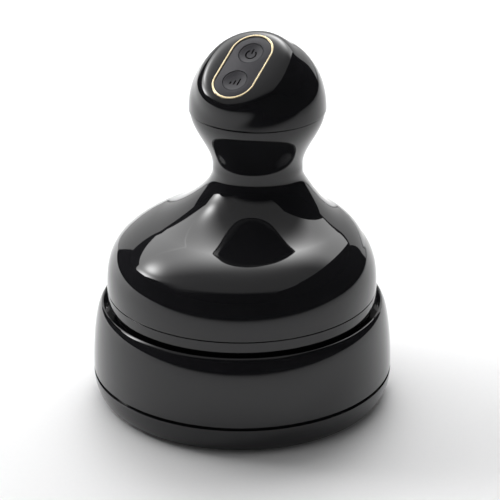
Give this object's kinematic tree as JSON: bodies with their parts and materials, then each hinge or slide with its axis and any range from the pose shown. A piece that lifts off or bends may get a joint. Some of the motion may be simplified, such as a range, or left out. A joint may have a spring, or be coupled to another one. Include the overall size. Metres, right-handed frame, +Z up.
{
  "type": "handheld scalp massager with charging dock",
  "caption": "Handheld electric scalp massager with rotating silicone finger heads and a ball grip with a button panel, standing on a round charging dock.",
  "frame": {"origin": "middle of the dock's footprint, at the level of the table", "axes": "+Z up, -Y to the front (the side the button panel faces), +X to the right seen from the front"},
  "size_m": [0.118, 0.118, 0.1446],
  "materials": {
    "gloss_black_shell": "moulded ABS, polished to a deep piano black",
    "champagne_trim": "champagne anodised, bright",
    "charcoal_panel": "fine satin paint",
    "charcoal_button": "satin, dished, with an engraved symbol",
    "finger_silicone": "soft matte silicone",
    "soft_rubber": "moulded rubber",
    "carrier_plastic": "moulded nylon",
    "gear_plastic": "moulded acetal",
    "circuit_board": "glass-fibre board with green lacquer",
    "gold_contact": "gold plated",
    "plated_steel": "nickel plated",
    "ground_steel": "ground and polished",
    "plate_aluminium": "stamped, satin",
    "copper_winding": "enamelled copper winding on a steel core",
    "pinion_brass": "cut brass",
    "bush_bronze": "sintered bronze",
    "battery_sleeve": null,
    "wire_insulation": "silicone insulation",
    "ribbon_film": "polyester film"
  },
  "bodies": {
    "dock": {"dock_feet": "soft_rubber", "dock_base": "gloss_black_shell", "dock_deck": "gloss_black_shell", "dock_collar": "gloss_black_shell", "dock_shell": "gloss_black_shell", "dock_seat_pad": "soft_rubber", "dock_board": "circuit_board", "usb_inlet": "plated_steel", "dock_contact_barrels": "gold_contact", "dock_leads": "wire_insulation", "dock_screws": "plated_steel"},
    "contact_left": {"dock_contact_pin_left": "gold_contact"},
    "contact_right": {"dock_contact_pin_right": "gold_contact"},
    "massager": {"bottom_shell": "gloss_black_shell", "shell_seal": "soft_rubber", "main_shell": "gloss_black_shell", "head_cap": "gloss_black_shell", "panel_trim": "champagne_trim", "button_panel": "charcoal_panel", "switch_board": "circuit_board", "tact_switches": "plated_steel", "switch_lead": "ribbon_film", "battery_cell": "battery_sleeve", "battery_holder": "carrier_plastic", "main_board": "circuit_board", "charge_contacts": "gold_contact", "charge_leads": "wire_insulation", "shell_screws": "plated_steel", "gear_plate_lower": "plate_aluminium", "gear_plate_upper": "plate_aluminium", "plate_screws": "plated_steel", "motor_can": "plated_steel", "compound_pin": "ground_steel", "shaft_bushes": "bush_bronze", "shaft_seals": "soft_rubber"},
    "power_button": {"power_button": "charcoal_button"},
    "mode_button": {"mode_button": "charcoal_button"},
    "motor": {"motor_rotor": "copper_winding", "motor_pinion": "pinion_brass"},
    "compound": {"compound_gear": "gear_plastic"},
    "drive": {"drive_wheel": "gear_plastic", "sun_gear": "gear_plastic", "drive_shaft": "ground_steel"},
    "head_1": {"head_gear_1": "gear_plastic", "head_shaft_1": "ground_steel", "finger_carrier_1": "carrier_plastic", "finger_pad_1": "finger_silicone"},
    "head_2": {"head_gear_2": "gear_plastic", "head_shaft_2": "ground_steel", "finger_carrier_2": "carrier_plastic", "finger_pad_2": "finger_silicone"},
    "head_3": {"head_gear_3": "gear_plastic", "head_shaft_3": "ground_steel", "finger_carrier_3": "carrier_plastic", "finger_pad_3": "finger_silicone"},
    "head_4": {"head_gear_4": "gear_plastic", "head_shaft_4": "ground_steel", "finger_carrier_4": "carrier_plastic", "finger_pad_4": "finger_silicone"}
  },
  "joints": [
    {"name": "massager_lift", "type": "slide", "parent": "dock", "child": "massager", "axis": [0, 0, 1], "range_m": [0, 0.06]},
    {"name": "contact_left_press", "type": "slide", "parent": "dock", "child": "contact_left", "axis": [0, 0, 1], "range_m": [-0.0006, 0], "stiffness_N_per_m": 800},
    {"name": "contact_right_press", "type": "slide", "parent": "dock", "child": "contact_right", "axis": [0, 0, 1], "range_m": [-0.0006, 0], "stiffness_N_per_m": 800},
    {"name": "power_press", "type": "slide", "parent": "massager", "child": "power_button", "axis": [0, 0.515, -0.8572], "range_m": [0, 0.0004], "stiffness_N_per_m": 4000},
    {"name": "mode_press", "type": "slide", "parent": "massager", "child": "mode_button", "axis": [0, 0.515, -0.8572], "range_m": [0, 0.0004], "stiffness_N_per_m": 4000},
    {"name": "drive_spin", "type": "hinge", "parent": "massager", "child": "drive", "pos_m": [0, 0, 0.05], "axis": [0, 0, 1], "continuous": true},
    {"name": "compound_spin", "type": "hinge", "parent": "massager", "child": "compound", "pos_m": [0.01493, -0.00913, 0.052], "axis": [0, 0, 1], "continuous": true},
    {"name": "motor_spin", "type": "hinge", "parent": "massager", "child": "motor", "pos_m": [0, -0.0106, 0.06], "axis": [0, 0, 1], "continuous": true},
    {"name": "head_spin_1", "type": "hinge", "parent": "massager", "child": "head_1", "pos_m": [0.0198, 0.0198, 0.04], "axis": [0, 0, 1], "continuous": true},
    {"name": "head_spin_2", "type": "hinge", "parent": "massager", "child": "head_2", "pos_m": [-0.0198, 0.0198, 0.04], "axis": [0, 0, 1], "continuous": true},
    {"name": "head_spin_3", "type": "hinge", "parent": "massager", "child": "head_3", "pos_m": [-0.0198, -0.0198, 0.04], "axis": [0, 0, 1], "continuous": true},
    {"name": "head_spin_4", "type": "hinge", "parent": "massager", "child": "head_4", "pos_m": [0.0198, -0.0198, 0.04], "axis": [0, 0, 1], "continuous": true}
  ],
  "couplings": [
    {"joint": "compound_spin", "follows": "drive_spin", "ratio": -6},
    {"joint": "motor_spin", "follows": "drive_spin", "ratio": 30},
    {"joint": "head_spin_1", "follows": "drive_spin", "ratio": -0.55556},
    {"joint": "head_spin_2", "follows": "drive_spin", "ratio": -0.55556},
    {"joint": "head_spin_3", "follows": "drive_spin", "ratio": -0.55556},
    {"joint": "head_spin_4", "follows": "drive_spin", "ratio": -0.55556}
  ]
}
